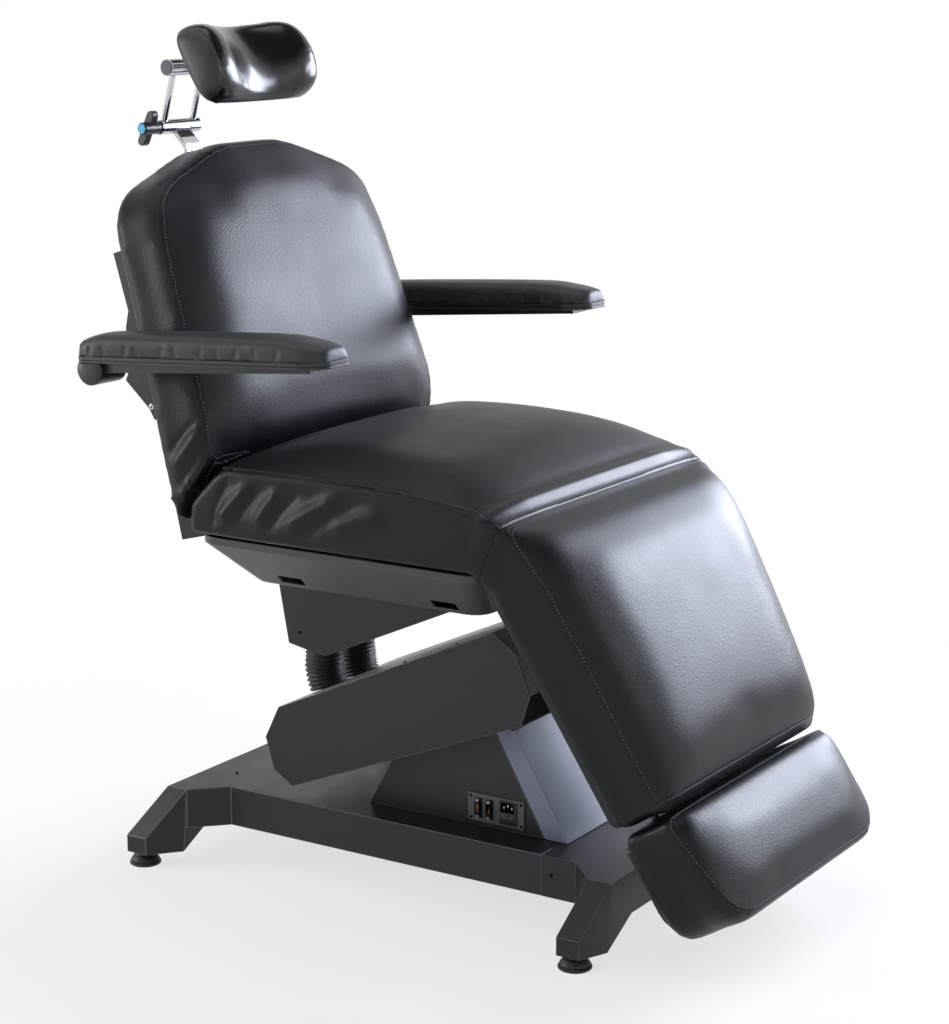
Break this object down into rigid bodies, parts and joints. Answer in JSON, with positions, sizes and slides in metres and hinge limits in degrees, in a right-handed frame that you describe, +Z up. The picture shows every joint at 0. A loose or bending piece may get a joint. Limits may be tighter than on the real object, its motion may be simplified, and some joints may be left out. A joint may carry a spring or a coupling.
{
  "type": "treatment chair",
  "caption": "Powered treatment chair with a parallel lift arm on a low four-legged base, reclining back, raising leg rest with sliding footrest, folding armrests and a jointed headrest.",
  "frame": {"origin": "middle of the chair's box on the floor, at its lowest height with the back upright and the leg rest down", "axes": "+X towards the foot end, +Y towards the sitter's left, +Z up"},
  "size_m": [1.182, 0.8148, 1.3116],
  "materials": {
    "charcoal_leather": "soft satin grain",
    "black_leather": "glossy smooth grain",
    "dark_powder_coat": "satin powder coat",
    "grey_plastic": "fine satin",
    "black_plastic": "fine satin",
    "black_rubber": "matt",
    "steel": "plain",
    "chrome": "polished",
    "panel_grey": "satin",
    "blue_plastic": "gloss"
  },
  "bodies": {
    "base": {"base_frame": "dark_powder_coat", "base_front_section": "dark_powder_coat", "foot_front_right": "black_rubber", "foot_front_left": "black_rubber", "foot_rear_right": "black_rubber", "foot_rear_left": "black_rubber", "pedestal_frame": "dark_powder_coat", "pedestal_cover_right": "dark_powder_coat", "pedestal_cover_left": "dark_powder_coat", "pedestal_front_cover": "dark_powder_coat", "connector_plate": "panel_grey", "handset_socket": "steel", "foot_control_socket": "steel", "mains_inlet": "black_plastic", "control_box": "panel_grey", "lift_actuator_body": "steel"},
    "lift_rod": {"lift_actuator_rod": "chrome"},
    "lift_arm": {"lift_arm_frame": "dark_powder_coat", "front_pivot_shaft": "steel", "rear_pivot_shaft": "steel", "arm_cover_right": "dark_powder_coat", "arm_cover_left": "dark_powder_coat", "arm_top_cover": "dark_powder_coat"},
    "level_link": {"level_link": "steel"},
    "seat": {"carrier_frame": "dark_powder_coat", "carrier_cover": "grey_plastic", "bellows_right": "black_rubber", "bellows_left": "black_rubber", "seat_frame": "dark_powder_coat", "seat_pan": "grey_plastic", "seat_cushion": "charcoal_leather", "back_actuator_body": "steel", "leg_actuator_body": "steel", "knee_hinge_leaf": "steel"},
    "back_rod": {"back_actuator_rod": "chrome"},
    "leg_rod": {"leg_actuator_rod": "chrome"},
    "backrest": {"back_frame": "dark_powder_coat", "back_shell": "black_plastic", "back_cushion": "charcoal_leather", "armrest_bracket_right": "dark_powder_coat", "armrest_bracket_left": "dark_powder_coat", "headrest_guide": "dark_powder_coat"},
    "headrest_post": {"headrest_bar": "chrome"},
    "headrest_link": {"headrest_link_right": "chrome", "headrest_link_left": "chrome"},
    "headrest_pad": {"headrest_pad_bracket": "chrome", "headrest_cushion": "black_leather"},
    "knob": {"wing_knob": "black_plastic", "knob_cap": "blue_plastic"},
    "legrest": {"leg_frame": "dark_powder_coat", "leg_cushion": "charcoal_leather"},
    "footrest": {"footrest_plate": "black_plastic", "footrest_cushion": "charcoal_leather"},
    "armrest_right": {"armrest_rail_right": "black_plastic", "armrest_tray_right": "black_plastic", "armrest_pad_right": "charcoal_leather"},
    "armrest_left": {"armrest_rail_left": "black_plastic", "armrest_tray_left": "black_plastic", "armrest_pad_left": "charcoal_leather"}
  },
  "joints": [
    {"name": "lift", "type": "hinge", "parent": "base", "child": "lift_arm", "pos_m": [0.1146, 0, 0.358], "axis": [0, 1, 0], "range_deg": [0, 37]},
    {"name": "lift_rod_slide", "type": "slide", "parent": "base", "child": "lift_rod", "axis": [0, 0, 1], "range_m": [0, 0.058]},
    {"name": "level_link_pivot", "type": "hinge", "parent": "base", "child": "level_link", "pos_m": [0.1146, 0, 0.403], "axis": [0, 1, 0], "range_deg": [0, 37.5]},
    {"name": "seat_level", "type": "hinge", "parent": "lift_arm", "child": "seat", "pos_m": [-0.25489, 0, 0.19964], "axis": [0, 1, 0], "range_deg": [-37.5, 0], "deforming": ["bellows_right", "bellows_left"]},
    {"name": "back_recline", "type": "hinge", "parent": "seat", "child": "backrest", "pos_m": [-0.3554, 0, 0.556], "axis": [0, -1, 0], "range_deg": [0, 72]},
    {"name": "back_rod_slide", "type": "slide", "parent": "seat", "child": "back_rod", "axis": [1, 0, 0], "range_m": [0, 0.072]},
    {"name": "leg_raise", "type": "hinge", "parent": "seat", "child": "legrest", "pos_m": [0.2251, 0, 0.631], "axis": [0, -1, 0], "range_deg": [0, 63]},
    {"name": "leg_rod_slide", "type": "slide", "parent": "seat", "child": "leg_rod", "axis": [1, 0, 0], "range_m": [0, 0.1165]},
    {"name": "footrest_slide", "type": "slide", "parent": "legrest", "child": "footrest", "axis": [0.5, 0, -0.866], "range_m": [0, 0.04]},
    {"name": "armrest_right_fold", "type": "hinge", "parent": "backrest", "child": "armrest_right", "pos_m": [-0.43119, -0.365, 0.81621], "axis": [0, -1, 0], "range_deg": [0, 95]},
    {"name": "armrest_left_fold", "type": "hinge", "parent": "backrest", "child": "armrest_left", "pos_m": [-0.43119, 0.365, 0.81621], "axis": [0, -1, 0], "range_deg": [0, 95]},
    {"name": "headrest_height", "type": "slide", "parent": "backrest", "child": "headrest_post", "axis": [-0.2924, 0, 0.9563], "range_m": [0, 0.1]},
    {"name": "headrest_link_tilt", "type": "hinge", "parent": "headrest_post", "child": "headrest_link", "pos_m": [-0.57434, 0, 1.149], "axis": [0, -1, 0], "range_deg": [0, 60]},
    {"name": "headrest_pad_tilt", "type": "hinge", "parent": "headrest_link", "child": "headrest_pad", "pos_m": [-0.54835, 0, 1.24401], "axis": [0, -1, 0], "range_deg": [-12, 45]},
    {"name": "knob_turn", "type": "hinge", "parent": "headrest_post", "child": "knob", "pos_m": [-0.57434, 0, 1.149], "axis": [0, 1, 0], "continuous": true}
  ],
  "couplings": [
    {"joint": "lift_rod_slide", "follows": "lift", "m_per_rad": 0.08815},
    {"joint": "level_link_pivot", "follows": "lift", "ratio": 1},
    {"joint": "seat_level", "follows": "lift", "ratio": -1},
    {"joint": "back_rod_slide", "follows": "back_recline", "m_per_rad": 0.05613},
    {"joint": "leg_rod_slide", "follows": "leg_raise", "m_per_rad": 0.10454}
  ]
}
